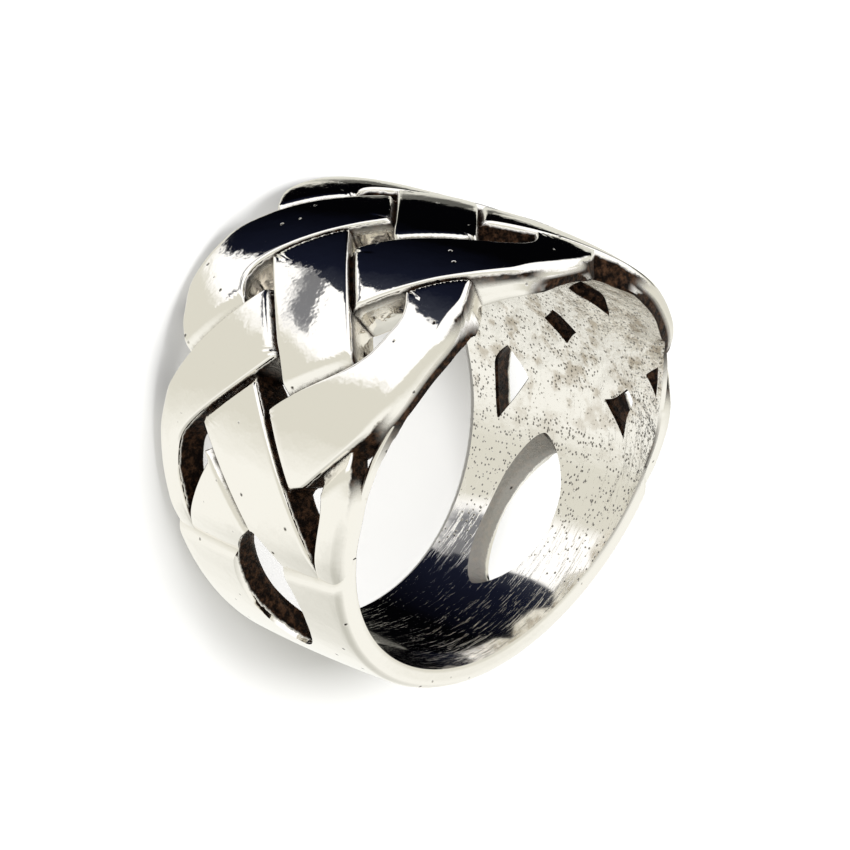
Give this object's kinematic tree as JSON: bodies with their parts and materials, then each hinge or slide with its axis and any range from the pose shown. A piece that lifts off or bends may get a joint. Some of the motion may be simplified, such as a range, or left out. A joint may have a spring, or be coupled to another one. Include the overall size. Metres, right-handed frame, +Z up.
{
  "type": "finger ring",
  "caption": "Cast band ring with a wide woven head that narrows to a plain shank, with almond openings beside the weave, lying on its side.",
  "frame": {"origin": "middle of the ring's underside as it lies on a level surface, at the height that it rests on", "axes": "+Z up and nearly along the finger hole, which leans to +Y; -Y towards the wide woven head; +Y towards the back of the shank"},
  "size_m": [0.0224, 0.0232, 0.0164],
  "materials": {
    "silver": "polished silver, worn, with dark oxide in the recesses"
  },
  "bodies": {
    "root": {"ring": "silver"}
  },
  "joints": []
}
